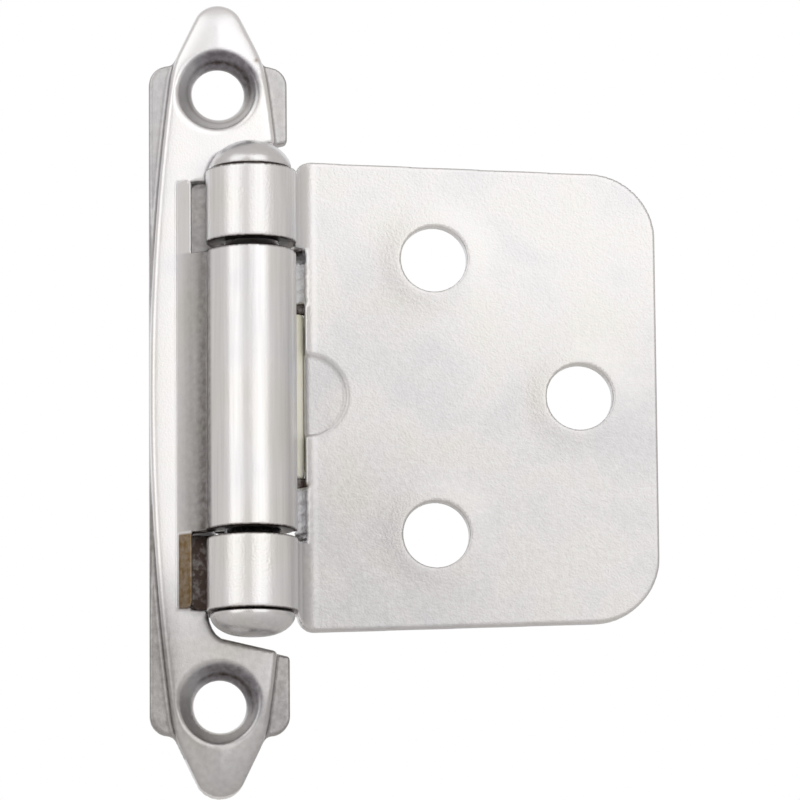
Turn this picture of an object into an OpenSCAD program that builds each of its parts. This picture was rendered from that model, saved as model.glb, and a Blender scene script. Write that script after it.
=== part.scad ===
// Self-closing cabinet hinge for the face of a cabinet frame.
// The hinge stands as it is used: X to the right, Z up, and the front looks along -Y.
// The back of the frame leaf lies in the plane y = 0, and the origin is midway between its screws.
// The modules draw on a plate that lies flat, with its height pointing out of the cabinet, and
// stand() turns that plate upright.

/* [Frame leaf] */
// Length of the frame leaf over its pointed ends
frame_len = 69.86; // [66:0.1:76]
// Width of the frame leaf
frame_w = 12.1; // [11.6:0.1:13]
// Thickness of the frame leaf's sheet
frame_sheet = 1.3; // [1:0.05:1.4]
// Height of the raised plateau above the cabinet
plateau_h = 3; // [2.8:0.05:3.2]
// How far the plateau's sides lean in from its foot to its top
plateau_lean = 1.05; // [0.8:0.05:1.2]
// Half-width of the plateau's foot at the shoulders, where the pointed ends begin
shoulder_half_w = 4; // [3.8:0.05:4.4]
// Length of each pointed end beyond the shoulders
finial_len = 5.43; // [5:0.05:6]
// Radius of the tip of each pointed end
finial_tip_r = 2.2; // [2.1:0.05:2.6]
// Radius of the flange's corners
flange_corner_r = 1.7; // [1.2:0.1:2]
// Radius of the hollow corner between a pointed end and the flange
flange_hollow_r = 1.1; // [0.6:0.1:1.2]

/* [Frame screw holes] */
// Distance between the two frame screws
frame_screw_pitch = 54; // [52:0.1:55]
// Radius of a frame screw hole
frame_screw_r = 2.3; // [2:0.05:2.5]
// Radius of the countersink at the front
frame_sink_r = 3.6; // [3.3:0.05:3.8]
// Depth of the countersink's cone
frame_sink_depth = 1.7; // [1.3:0.1:2]
// Wall left round a frame screw hole where the sheet is pressed down
frame_sink_wall = 0.9; // [0.7:0.05:1]

/* [Barrel] */
// Distance of the pin's axis to the right of the frame screws
pin_x = 2.6; // [2.5:0.05:3]
// Height of the pin's axis above the cabinet
pin_h = 5.3; // [5.25:0.05:5.6]
// Radius of the pin
pin_r = 2.38; // [2.2:0.01:2.4]
// Radial play between the pin and its knuckles
pin_play = 0.05; // [0.02:0.01:0.1]
// Length of the frame leaf's centre knuckle
centre_knuckle_len = 24.5; // [22:0.1:25]
// Length of each of the door leaf's two knuckles
door_knuckle_len = 6.4; // [6:0.1:6.6]
// Gap between neighbouring knuckles
knuckle_gap = 0.65; // [0.4:0.05:0.8]
// Gap between a pin head and the knuckle beside it
head_gap = 0.1; // [0.05:0.05:0.3]
// Radius of the pin heads
head_r = 3.6; // [3.3:0.05:3.7]
// Height of the pin heads
head_h = 2.35; // [2:0.05:2.4]
// Radius of the flat on the peened lower head
peen_r = 1.9; // [1:0.1:2.4]
// Distance of the flank's foot to the left of the frame screws
flank_foot = 3.95; // [3.8:0.05:4.1]
// Height of the step at the flank's foot
flank_step = 1.3; // [1:0.05:1.4]
// Radius of the hollow bend from that step up to the centre knuckle
flank_bend_r = 3; // [2.6:0.1:3.2]
// Angle left open between the frame leaf and the free end of its knuckle
frame_curl_open = 46; // [36:1:80]
// Height of the catch ridge on the right of the centre knuckle
ridge_h = 0.2; // [0.1:0.05:0.3]
// Radius of the catch ridge's back
ridge_r = 0.55; // [0.4:0.05:0.8]
// Angle of the catch ridge below the pin's axis
ridge_angle = 4; // [0:1:12]

/* [Frame cut-outs] */
// How far a notch's left part stops short of the door knuckle's end
notch_step = 0.5; // [0.3:0.05:0.7]
// Gap between the door knuckle's end and the slanted cut beside the pin head
slant_gap = 0.35; // [0.3:0.05:0.6]
// Width of the hollow that starts the slanted cut
slant_hollow_w = 1.5; // [1.2:0.05:1.8]
// Rise of that hollow
slant_hollow_rise = 1.7; // [1.5:0.05:1.8]
// Rise of the slanted cut from the hollow to the leaf's right edge
slant_rise = 1.3; // [1:0.05:1.4]
// Thickness of the floor that closes each notch behind its left part
notch_floor = 0.7; // [0.5:0.05:0.9]
// How far that floor reaches under the door knuckle's side
notch_floor_reach = 0.45; // [0.2:0.05:0.6]
// Radius of the notches' inner corners
notch_corner_r = 0.5; // [0.3:0.05:0.6]

/* [Door leaf] */
// Height of the door leaf beside the barrel
door_len = 41.28; // [40.8:0.1:42]
// Distance from the frame screws to the door leaf's right edge
door_right = 38.2; // [36:0.1:42]
// Thickness of the door leaf's sheet
door_sheet = 1.5; // [1.3:0.05:1.5]
// How much lower the leaf is at its right edge than beside the barrel
door_taper = 0.8; // [0:0.1:1.6]
// Radius of the door leaf's right corners
door_corner_r = 5.6; // [4:0.1:7]
// Radius of the hollow bend from the door leaf up to its knuckles
door_bend_r = 2; // [1.7:0.05:2.2]
// Angle left open between the door leaf and the free ends of its knuckles
door_curl_open = 54; // [46:1:80]
// Radius of the leaf's inner corners beside the pin heads
door_inner_corner_r = 1.6; // [1:0.1:1.9]
// Gap between those inner corners and the pin heads
door_head_gap = 0.35; // [0.3:0.05:0.5]
// Gap between the catch ridge and the leaf's inner edge
door_edge_gap = 1.35; // [1.2:0.05:1.5]
// How far the tab behind the follower reaches in from that edge
tab_reach = 0.4; // [0.3:0.05:0.5]
// Length of the tab behind the follower
tab_len = 16.2; // [15:0.1:18]

/* [Door screw holes] */
// Radius of a door screw hole
door_screw_r = 2.9; // [2.5:0.05:3.1]
// Distance from the frame screws to the two inner door screws
door_screw_x = 18.75; // [18:0.05:21]
// Distance between the two inner door screws
door_screw_pitch = 24.3; // [22:0.1:26]
// Distance from the inner door screws to the outer one
door_screw_step = 12.65; // [11:0.05:13]

/* [Closing mechanism] */
// Radius of the half-moon lug
lug_r = 3.5; // [3:0.05:3.8]
// How far the half-moon is pressed through the leaf
lug_depth = 0.45; // [0.3:0.05:0.6]
// Radius of the nylon follower
follower_r = 1.1; // [1:0.02:1.12]
// Length of the nylon follower
follower_len = 14.4; // [12:0.1:15]
// Chamfer on the ends of the follower
follower_chamfer = 0.25; // [0.1:0.05:0.4]
// Gap between the follower and the catch ridge as it passes
follower_gap = 0.1; // [0.05:0.05:0.2]
// Gap between the follower and the tab beside it
follower_tab_gap = 0.08; // [0.05:0.01:0.12]
// Thickness of the closing spring
spring_sheet = 0.4; // [0.3:0.05:0.5]
// Length of the closing spring along the barrel
spring_len = 12.6; // [11:0.1:13]
// How far the closing spring's plate reaches along the leaf
spring_reach = 9.4; // [8:0.1:10]
// Gap between the closing spring's hook and the follower
spring_gap = 0.05; // [0.03:0.01:0.1]
// Gap between the lug and its window in the closing spring
lug_gap = 0.15; // [0.1:0.05:0.3]
// Radius of the closing spring's corners
spring_corner_r = 1.2; // [0.6:0.1:2]
// Angle at which the closing spring's hook ends beside the centre knuckle
hook_end_angle = 175; // [170:1:190]

/* [Hidden] */

$fn = 64;
eps = 0.01;
through = 20;
outline_steps = 14;
tip_steps = 8;
tip_min_r = 0.5;
tip_lean = 1.1;
hollow_wall_share = 0.95;
hollow_lean = 0.5;
slant_hollow_gap = 0.1;
bend_steps = 14;
weld_angle = 5;
hook_start_angle = 20;
head_chamfer = 0.15;
head_rim_h = 0.82;
head_steps = 10;
sink_cup_base = 0.33;

// Radii of the barrel
bore_r = pin_r + pin_play;
centre_knuckle_r = bore_r + frame_sheet;
door_knuckle_r = bore_r + door_sheet;
ridge_top_r = centre_knuckle_r + ridge_h;
pin = [pin_x, pin_h];

// Places along the barrel, measured from its middle, and the left wall of the notches
centre_end = centre_knuckle_len / 2;
door_knuckle_start = centre_end + knuckle_gap;
door_knuckle_end = door_knuckle_start + door_knuckle_len;
head_start = door_knuckle_end + head_gap;
notch_x = frame_sheet - flank_foot;
notch_end = door_knuckle_end - notch_step;

// The pointed ends and the bowed sides of the plateau
frame_half = frame_len / 2;
shoulder = frame_half - finial_len;
bow = frame_w / 2 - shoulder_half_w;
bow_r = (shoulder * shoulder + bow * bow) / (2 * bow);
tip_centre = frame_half - finial_tip_r;

// Heights and side leans of the plateau's skin, from its foot to its top
plateau_rings = [[0, 0], [0.44, 0], [0.74, 0.2], [0.92, 0.52], [1, 1]];

// Centre of the hollow bend between the step and the centre knuckle
step_h = plateau_h + flank_step;
flank_reach = flank_bend_r + centre_knuckle_r;
flank_dh = step_h + flank_bend_r - pin_h;
flank = [pin_x - sqrt(flank_reach * flank_reach - flank_dh * flank_dh), step_h + flank_bend_r];

// The door leaf is level with the back of its knuckles
door_back = pin_h - door_knuckle_r;
door_front = door_back + door_sheet;
web_reach = door_bend_r + door_knuckle_r;
web_dh = door_front + door_bend_r - pin_h;
web = [pin_x + sqrt(web_reach * web_reach - web_dh * web_dh), door_front + door_bend_r];

door_half = door_len / 2;
door_edge_x = pin_x + ridge_top_r + door_edge_gap;
tab_x = door_edge_x - tab_reach;
door_inner_x = pin_x + head_r + door_head_gap;
door_outer_screw_x = door_screw_x + door_screw_step;

// The follower runs just outside the catch ridge, beside the tab
follower_x = tab_x - follower_tab_gap - follower_r;
follower_orbit = ridge_top_r + follower_gap + follower_r;
follower_dx = follower_x - pin_x;
follower_h = pin_h - sqrt(follower_orbit * follower_orbit - follower_dx * follower_dx);
hook_in_r = follower_r + spring_gap;
hook_out_r = hook_in_r + spring_sheet;

// Turns a flat-lying plate upright, with its height towards the front
module stand() rotate([90, 0, 0]) children();

// Extrudes a section, drawn in width and height, along the barrel
module along_barrel(from, to) translate([0, to, 0]) rotate([90, 0, 0]) linear_extrude(to - from) children();

// Draws its children above and below the middle of the hinge
module both_ends() for (side = [0, 1]) mirror([0, side, 0]) children();

// Points along an arc
function arc(centre, r, from, to, steps) = [
    for (i = [0 : steps]) let (a = from + (to - from) * i / steps) centre + r * [cos(a), sin(a)]
];

// A pie slice from one angle to another, less than a full turn
module slice(radius, from, to) {
    steps = 6;
    polygon(concat([[0, 0]], arc([0, 0], radius / cos((to - from) / steps / 2), from, to, steps)));
}

// A round bar on the pin's axis
module barrel(radius, from, to)
    translate([pin_x, from, pin_h]) rotate([-90, 0, 0]) cylinder(h = to - from, r = radius);

// Sheet curled round the pin, with an opening between two angles
module curl(radius, open_from, open_to, from, to) {
    difference() {
        barrel(radius, from, to);
        barrel(bore_r, from - 1, to + 1);
        along_barrel(from - 1, to + 1) translate(pin) slice(radius + 1, open_from, open_to);
    }
}

// Section of a flat sheet that bends up and runs into a curl, which it enters by weld_angle
module bend_section(centre, bend_r, sheet, flat_end, curl_turn) {
    ray = atan2(pin_h - centre[1], pin_x - centre[0]);
    to_pin = ray < -90 ? ray + 360 : ray;
    from = to_pin > 90 ? 270 : -90;
    stop = to_pin - sign(to_pin - from) * weld_angle;
    inside = pin + (bore_r + sheet / 2) * [cos(ray + 180 + curl_turn), sin(ray + 180 + curl_turn)];
    polygon(concat(
        [[flat_end, centre[1] - bend_r]],
        arc(centre, bend_r, from, stop, bend_steps),
        [inside],
        arc(centre, bend_r + sheet, to_pin, from, bend_steps),
        [[flat_end, centre[1] - bend_r - sheet]]
    ));
}

// The plateau's outline: two bowed sides and two round tips, drawn in by a lean
function side_x(y, lean) = frame_w / 2 - (bow_r - sqrt(bow_r * bow_r - y * y)) - lean;
function tip_from(r, x) = let (y = shoulder - tip_centre) atan2(y, x) + acos(r / norm([x, y]));
function quarter(lean) = let (r = max(tip_min_r, finial_tip_r - lean)) concat(
    [for (i = [0 : outline_steps - 1]) let (y = shoulder * i / outline_steps) [side_x(y, lean), y]],
    arc([0, frame_half - lean * tip_lean - r], r, tip_from(r, side_x(shoulder, lean)), 90, tip_steps)
);
function plateau_outline(lean) = let (
    q = quarter(lean), n = len(q),
    top = concat(q, [for (i = [n - 2 : -1 : 1]) [-q[i][0], q[i][1]]])
) concat(top, [for (i = [0 : len(top) - 1]) -top[i]]);

// A smooth body through outlines of equal length, each given as [height, lean]
module loft(rings) {
    outlines = [for (ring = rings) plateau_outline(ring[1])];
    n = len(outlines[0]);
    last = len(rings) - 1;
    points = [for (k = [0 : last]) for (p = outlines[k]) [p[0], p[1], rings[k][0]]];
    sides = [for (k = [0 : last - 1]) for (i = [0 : n - 1]) let (
        a = k * n + i, b = k * n + (i + 1) % n
    ) each [[a, a + n, b], [b, a + n, b + n]]];
    foot = [for (i = [0 : n - 1]) i];
    crown = [for (i = [n - 1 : -1 : 0]) last * n + i];
    polyhedron(points, concat([foot, crown], sides));
}

// The plateau as one smooth body, or the hollow under it, which lies a sheet deeper
module plateau_body() loft([for (ring = plateau_rings) [ring[0] * plateau_h, ring[1] * plateau_lean]]);
module plateau_hollow() {
    crown = plateau_h - frame_sheet;
    wall = frame_sheet * hollow_wall_share;
    loft(concat([[-1, wall]],
        [for (ring = plateau_rings) if (ring[0] > 0) [ring[0] * crown, wall + ring[1] * hollow_lean]]));
}

// The flat flange behind the plateau, with a hollow corner beside each pointed end
module flange_outline() {
    x = frame_w / 2 - flange_corner_r;
    y = shoulder - flange_corner_r;
    square([frame_w, 2 * y], center = true);
    square([2 * x, 2 * shoulder], center = true);
    for (side = [-1, 1]) for (end = [-1, 1]) {
        translate([side * x, end * y]) circle(r = flange_corner_r);
        scale([side, end]) hollow_corner();
    }
}

module hollow_corner() {
    q = quarter(0);
    d = q[outline_steps] - [shoulder_half_w, shoulder];
    lean = atan2(-d[0], d[1]);
    r = flange_hollow_r;
    x = shoulder_half_w + r * (1 - sin(lean)) / cos(lean);
    touch = [x - r * cos(lean), shoulder + r - r * sin(lean)];
    difference() {
        polygon([[shoulder_half_w - r, shoulder - r / 2], [x, shoulder - r / 2], [x, shoulder + r / 2],
            touch, touch - [r, 0]]);
        translate([x, shoulder + r]) circle(r = r);
    }
}

// Room for the door knuckle and the pin head, with a slanted outer edge
module frame_cutout() {
    step_x = pin_x - door_knuckle_r - slant_hollow_gap;
    slant_start = door_knuckle_end + slant_gap;
    hollow_end = slant_start + slant_hollow_rise;
    right = frame_w / 2 + 1;
    r = notch_corner_r;
    polygon(concat(
        [[right, -eps], [notch_x, -eps]],
        arc([notch_x + r, notch_end - r], r, 180, 90, 4),
        [[step_x, notch_end], [step_x, slant_start - r]],
        [for (i = [0 : 4]) let (a = 180 - 18 * i) [step_x + slant_hollow_w * (1 + cos(a)),
            slant_start - r + (slant_hollow_rise + r) * sin(a)]],
        [[frame_w / 2, hollow_end + slant_rise], [right, hollow_end + slant_rise]]
    ));
}

// The countersunk hole of one frame screw
module frame_screw_hole() {
    translate([0, 0, -eps]) cylinder(h = plateau_h, r = frame_screw_r);
    translate([0, 0, plateau_h - frame_sink_depth])
        cylinder(h = frame_sink_depth, r1 = frame_screw_r, r2 = frame_sink_r);
    translate([0, 0, plateau_h - eps]) cylinder(h = 1, r = frame_sink_r);
}

// The step at the flank's foot, which runs on along the notches and ends round
module flank_wall() translate([-flank_foot, 0, plateau_h - frame_sheet / 2]) {
    r = frame_sheet / 2;
    linear_extrude(flank_step + r) both_ends() {
        translate([0, -eps]) square([frame_sheet, notch_end - r + eps]);
        translate([r, notch_end - r]) circle(r = r);
    }
}

// A thin floor under each notch, so that the gap beside the door knuckle isn't open to the back
module notch_floors() {
    floor_top = plateau_h - frame_sheet + eps;
    floor_right = pin_x - door_knuckle_r + notch_floor_reach;
    translate([notch_x - frame_sheet, 0, floor_top - notch_floor]) linear_extrude(notch_floor) both_ends()
        translate([0, centre_end - eps]) square([floor_right - notch_x + frame_sheet, notch_end - centre_end]);
}

// The centre knuckle: the sheet rises from the step, curls over the front of the pin and ends behind it
module centre_knuckle() {
    start = atan2(flank[1] - pin_h, flank[0] - pin_x);
    curl(centre_knuckle_r, start + weld_angle, start + frame_curl_open, -centre_end, centre_end);
    along_barrel(-centre_end, centre_end)
        bend_section(flank, flank_bend_r, frame_sheet, notch_x - frame_sheet / 2, -2 * weld_angle);
    along_barrel(-centre_end, centre_end) translate(pin) difference() {
        rotate(-ridge_angle) translate([ridge_top_r - ridge_r, 0]) circle(r = ridge_r);
        circle(r = bore_r + frame_sheet / 2);
    }
}

module frame_leaf() color("gainsboro") stand() {
    difference() {
        union() {
            difference() {
                union() {
                    linear_extrude(frame_sheet) flange_outline();
                    plateau_body();
                }
                plateau_hollow();
            }
            both_ends() translate([0, frame_screw_pitch / 2, sink_cup_base])
                cylinder(h = plateau_h - frame_sheet, r = frame_screw_r + frame_sink_wall);
        }
        both_ends() {
            translate([0, frame_screw_pitch / 2, 0]) frame_screw_hole();
            translate([0, 0, -through / 2]) linear_extrude(through) frame_cutout();
        }
    }
    flank_wall();
    notch_floors();
    centre_knuckle();
}

// The door leaf's sheet with its bend, over the whole height of the leaf
module door_sheet_body() along_barrel(-door_half, door_half)
    bend_section(web, door_bend_r, door_sheet, door_right, 2 * weld_angle);

// The door leaf seen from the front, without its knuckles
module door_outline() {
    low = door_half - door_taper;
    r = door_corner_r;
    q = door_inner_corner_r;
    hull() {
        both_ends() translate([door_right - r, low - r]) circle(r = r);
        both_ends() translate([door_inner_x + q, door_half - q]) circle(r = q);
    }
}

module half_moon(radius) {
    intersection() {
        translate([tab_x, 0]) circle(r = radius);
        translate([tab_x, -radius]) square([radius, 2 * radius]);
    }
}

// Front view of what is left of the bent sheet
module door_trim() {
    difference() {
        door_outline();
        both_ends() square([door_edge_x, door_knuckle_start]);
    }
    translate([tab_x, -tab_len / 2]) square([door_edge_x - tab_x + 1, tab_len]);
    both_ends() translate([pin_x, door_knuckle_start]) square([2 * door_knuckle_r, door_knuckle_len]);
}

module door_leaf() color("whitesmoke") stand() {
    start = atan2(web[1] - pin_h, web[0] - pin_x);
    difference() {
        union() {
            intersection() {
                door_sheet_body();
                linear_extrude(through) door_trim();
            }
            both_ends() curl(door_knuckle_r, start + 360 - door_curl_open, start + 360 - weld_angle,
                door_knuckle_start, door_knuckle_end);
            translate([0, 0, door_back - lug_depth])
                linear_extrude(door_sheet) half_moon(lug_r);
        }
        translate([0, 0, door_front - lug_depth]) linear_extrude(through) half_moon(lug_r);
        both_ends() translate([door_screw_x, door_screw_pitch / 2, 0])
            cylinder(h = through, r = door_screw_r);
        translate([door_outer_screw_x, 0, 0]) cylinder(h = through, r = door_screw_r);
    }
}

// Half-profile of a pin head: a straight rim, then a rounded back down to a flat or a point
function head_profile(flat_r) = concat(
    [[0, 0], [head_r - head_chamfer, 0], [head_r, head_chamfer]],
    [for (i = [0 : head_steps]) let (a = 90 * i / head_steps)
        [flat_r + (head_r - flat_r) * cos(a), head_rim_h + (head_h - head_rim_h) * sin(a)]],
    [[0, head_h]]
);

module hinge_pin() color("silver") stand() translate([pin_x, 0, pin_h]) rotate([-90, 0, 0]) {
    translate([0, 0, -head_start - eps]) cylinder(h = 2 * (head_start + eps), r = pin_r);
    translate([0, 0, head_start]) rotate_extrude() polygon(head_profile(0));
    mirror([0, 0, 1]) translate([0, 0, head_start]) rotate_extrude() polygon(head_profile(peen_r));
}

module nylon_follower() color("palegoldenrod") stand()
    translate([follower_x, -follower_len / 2, follower_h]) rotate([-90, 0, 0]) {
        c = follower_chamfer;
        cylinder(h = c, r1 = follower_r - c, r2 = follower_r);
        translate([0, 0, c]) cylinder(h = follower_len - 2 * c, r = follower_r);
        translate([0, 0, follower_len - c]) cylinder(h = c, r1 = follower_r, r2 = follower_r - c);
    }

// The spring's hook behind the follower
module hook() translate([follower_x, -spring_len / 2, follower_h]) rotate([-90, 0, 0])
    difference() {
        cylinder(h = spring_len, r = hook_out_r);
        translate([0, 0, -1]) cylinder(h = spring_len + 2, r = hook_in_r);
        translate([0, 0, -1]) linear_extrude(spring_len + 2)
            slice(hook_out_r + 1, -hook_end_angle, hook_start_angle);
    }

module closing_spring() color("slategray") stand() {
    difference() {
        union() {
            hook();
            translate([tab_x - follower_tab_gap + eps, 0, door_back - spring_sheet])
                linear_extrude(spring_sheet) spring_plate();
        }
        translate([0, 0, -through / 2]) linear_extrude(through) half_moon(lug_r + lug_gap);
    }
}

module spring_plate() {
    r = spring_corner_r;
    translate([0, -spring_len / 2]) square([r, spring_len]);
    translate([r, -spring_len / 2 + r]) offset(r = r) square([spring_reach - 2 * r, spring_len - 2 * r]);
}

frame_leaf();
door_leaf();
hinge_pin();
nylon_follower();
closing_spring();
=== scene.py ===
"""Dresses a self-closing cabinet hinge: two stampings, a pin, a nylon follower and its spring."""
import math

import bpy
import numpy as np
from bpy.props import FloatProperty, FloatVectorProperty, PointerProperty
from mathutils import Matrix, Vector


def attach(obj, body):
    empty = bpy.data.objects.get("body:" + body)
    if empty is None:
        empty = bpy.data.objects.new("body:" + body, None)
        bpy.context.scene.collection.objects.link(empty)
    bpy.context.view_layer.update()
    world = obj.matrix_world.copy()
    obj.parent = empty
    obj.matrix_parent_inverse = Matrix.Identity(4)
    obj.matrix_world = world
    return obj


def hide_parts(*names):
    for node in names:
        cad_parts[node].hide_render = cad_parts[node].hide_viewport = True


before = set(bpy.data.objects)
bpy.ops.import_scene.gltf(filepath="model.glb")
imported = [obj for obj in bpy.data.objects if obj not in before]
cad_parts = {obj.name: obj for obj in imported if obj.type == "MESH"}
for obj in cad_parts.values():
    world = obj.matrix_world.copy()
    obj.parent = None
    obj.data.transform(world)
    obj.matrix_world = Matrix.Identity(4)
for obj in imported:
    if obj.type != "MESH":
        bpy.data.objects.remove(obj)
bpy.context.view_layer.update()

bl_info = {
    "name": "Self-closing cabinet hinge",
    "version": (1, 0, 0),
    "blender": (4, 5, 0),
    "location": "3D View > Sidebar > Hinge",
    "description": "Builds the skins and finishes of a face-mounted self-closing hinge",
    "category": "Object",
}

MM = 0.001

# Sizes in mm, with x to the right, z up the barrel and h out of the cabinet

# The pin's axis in x and h, the pin and the bore of its knuckles
PIN = (2.6, 5.3)
PIN_R = 2.38
BORE_R = 2.43

# The frame leaf's sheet, its outline and its plateau
FRAME_SHEET = 1.3
FRAME_HALF_W = 6.05
SHOULDER = 29.5
SHOULDER_HALF_W = 4.0
TIP_R = 2.2
TIP_Z = 32.73
TIP_FALL = (29.6, 34.9)
FLANGE_CORNER_R = 1.7
FLANGE_HOLLOW_R = 1.1
PLATEAU_H = 3.0

# Its screw holes, with the pressed cups' wall and how far a countersink's top lies to the left
FRAME_SCREW_Z = 27.0
FRAME_SCREW_R = 2.3
SINK_R = 3.6
SINK_DEPTH = 1.7
SINK_OFF = 0.3
CUP_WALL = 0.9
CUP_BACK = 0.33

# The step and the slope beside its notches, and the floors in them, which close the notches where there is only
# shade and carry painted shadow
STEP_X = (-3.75, -2.5)
FLANK_FOOT = (-3.75, 3.2)
FLANK_SLOPE = 44
SHADE_FLOOR_X = (-3.9, -0.3)
SHADE_FLOOR_H = (1.01, 1.71)
NOTCH_END = 18.8

# Its centre knuckle, open between two angles, with the catch ridge
CENTRE_END = 12.25
FRAME_CURL = (168, 209)
RIDGE_R = 0.55
RIDGE_OUT = 3.38
RIDGE_TURN = -4

# The door leaf's knuckles, the centre of the bend that leads to them, and the sheet's back
DOOR_SHEET = 1.5
KNUCKLE_START = 12.9
KNUCKLE_END = 19.3
DOOR_CURL = (126, 180)
WEB = (8.51, 4.87)
DOOR_BACK = 1.37

# Its outline, which narrows to the right by an angle in degrees
DOOR_LEFT = 6.55
DOOR_RIGHT = 38.2
DOOR_HALF = 20.64
DOOR_NARROWS = 1.87
NARROWS_FROM = 8.15
DOOR_CORNER_R = 5.6
DOOR_INNER_R = 1.6

# Its inner edge, the tab behind the follower and the sheared faces that slant back beside the tab
DOOR_EDGE = 7.88
TAB_EDGE = 7.41
TAB_HALF = 8.1
SHEAR_EDGE = 7.3
SHEAR_LEAN = 1.1
LEDGE_HALF = 7.22
LEDGE_H = 0.75

# Its screw holes in x and z, and the half-moon
DOOR_SCREWS = ((18.75, 12.15), (31.4, 0.0))
DOOR_SCREW_R = 2.9
SWELL_REACH = 1.6
MOON_R = 3.5
MOON_DEPTH = 0.3

# The follower's axis in x and h
FOLLOWER = (6.30, 1.75)
FOLLOWER_R = 1.1
FOLLOWER_HALF = 7.2
FOLLOWER_ROUND = 0.25

# The pin's heads: where they start, their rims and ends, and the flat on the peened one
HEAD_START = 19.4
HEAD_RIM = 19.75
DOME_R = 3.5
DOME_END = 22.0
PEEN_R = 3.65
PEEN_FLAT_R = 1.0
PEEN_END = -21.35

# The finish's marks: radii just outside the knuckles, and the height between flange and plateau
CENTRE_REACH = 3.95
DOOR_REACH = 4.05
FLANGE_TOP = 1.6

# The photograph: its width and middle in pixels, the scale, and the view in degrees
PICTURE = 800
PICTURE_MIDDLE = (404.0, 395.5)
PIXELS_PER_MM = 11.50
VIEW_TURN = -5.0
VIEW_TILT = -9.5
VIEW_ROLL = -0.5
AIM = (16, -3, 0)
SENSOR = 36

# The stage in metres: the soft boxes' distance, and the floor and backdrop
BOX_AWAY = 0.9
FLOOR_Z = -0.2
STAGE_HALF = 3
BACKDROP_Y = 2.9


def linear(hex_colour):
    """Turns an sRGB hex colour such as #d8d4cb to linear red, green, blue."""
    values = [int(hex_colour[i:i + 2], 16) / 255 for i in (1, 3, 5)]
    return tuple(v / 12.92 if v <= 0.04045 else ((v + 0.055) / 1.055) ** 2.4 for v in values)


def colour(name, about, hex_colour):
    """A colour that a user can change."""
    return FloatVectorProperty(name=name, description=about, subtype="COLOR", size=3, min=0, max=1,
                               default=linear(hex_colour))


def length(name, about, default):
    """A size in metres, given here in mm."""
    return FloatProperty(name=name, description=about, default=default * MM, min=0, precision=5,
                         unit="LENGTH", subtype="DISTANCE")


class HingeShape(bpy.types.PropertyGroup):
    """Sizes of the skins that the solids leave sharp"""
    mesh_step: length("Mesh step", "Distance between neighbouring points of a skin", 0.2)
    sheared_edge: length("Sheared edge", "Radius on the edges of the cut sheet", 0.14)
    plateau_roll: length("Plateau roll", "Radius with which the plateau's top rolls over to its side", 0.4)
    tip_drop: length("Tip drop", "How far the plateau's top falls away to its pointed ends", 0.6)
    edge_sink: length("Edge sink", "How far the pointed ends sink towards their edge", 0.7)
    hole_swell: length("Hole swell", "How far the punch raises the sheet round a door screw hole", 0.12)


class HingeFinish(bpy.types.PropertyGroup):
    """Colours of the finishes"""
    nickel: colour("Nickel", "Clean nickel plating", "#efeff1")
    nickel_warm: colour("Warm film", "Faint yellowish film on the plating", "#ededeb")
    nickel_cool: colour("Cool film", "Faint violet film on the plating", "#ebebef")
    # the grime colour paints old grease and tarnish, and also painted shade in creases, gaps and notches
    grime_and_shade: colour("Grime", "Old grease and tarnish in the creases", "#443a36")
    rust: colour("Rust", "Rust on a sheared edge and in small spots", "#7a6136")
    # the countersink colour paints a bluish film, and with it painted shade on the countersinks' upper walls
    blued_and_shade: colour("Countersink", "Bluish film in the countersinks", "#8c8c9e")
    nylon: colour("Nylon", "Natural nylon, slightly yellowed", "#fbfaf0")
    spring: colour("Spring steel", "Tempered spring steel", "#6f6e70")
    floor: colour("Floor", "Pale floor and backdrop", "#f2f2f2")


class HingeStage(bpy.types.PropertyGroup):
    """Light and camera"""
    room: FloatProperty(name="Room light", description="Strength of the soft light from all round",
                        default=0.65, min=0, max=2)
    room_tint: colour("Room colour", "Colour of the soft light from all round", "#fffaf5")
    left_box: FloatProperty(name="Left light", description="Brightness of the left soft box",
                            default=0.68, min=0, max=10)
    right_box: FloatProperty(name="Right light", description="Brightness of the right soft box",
                             default=0.72, min=0, max=10)
    distance: FloatProperty(name="Camera distance", description="Distance from the hinge to the camera",
                            default=0.5, min=0.1, unit="LENGTH", subtype="DISTANCE")


class HingeSettings(bpy.types.PropertyGroup):
    """All that a user can change on the hinge"""
    shape: PointerProperty(type=HingeShape)
    finish: PointerProperty(type=HingeFinish)
    stage: PointerProperty(type=HingeStage)


# Distance fields: negative inside the metal, and in mm


def both(a, b, r):
    """The space inside two fields, with a rounded edge between them."""
    return np.minimum(-r, np.maximum(a, b)) + np.hypot(np.maximum(a + r, 0), np.maximum(b + r, 0))


def either(a, b, r):
    """The space inside one field or the other, with a fillet between them."""
    return -both(-a, -b, r)


def slab(value, low, high):
    """The space between two values."""
    return np.abs(value - (low + high) / 2) - (high - low) / 2


def ramp(value, start, stop):
    """Goes smoothly from 0 to 1 while a value goes from start to stop."""
    t = np.clip((value - start) / (stop - start), 0, 1)
    return t * t * (3 - 2 * t)


def polygon(x, z, corners):
    """A flat outline given by its corners."""
    nearest = np.inf
    flips = 1.0
    for (x0, z0), (x1, z1) in zip(corners, corners[1:] + corners[:1]):
        dx, dz = x1 - x0, z1 - z0
        t = np.clip(((x - x0) * dx + (z - z0) * dz) / (dx * dx + dz * dz), 0, 1)
        nearest = np.minimum(nearest, np.hypot(x - x0 - t * dx, z - z0 - t * dz))
        side = (x - x0) * dz - (z - z0) * dx
        crosses = ((z >= z0) != (z >= z1)) & ((side > 0) == (dz > 0))
        flips = np.where(crosses, -flips, flips)
    return nearest * flips


def ray(turn):
    """The direction at an angle in degrees, counted from x towards h."""
    return math.cos(math.radians(turn)), math.sin(math.radians(turn))


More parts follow.
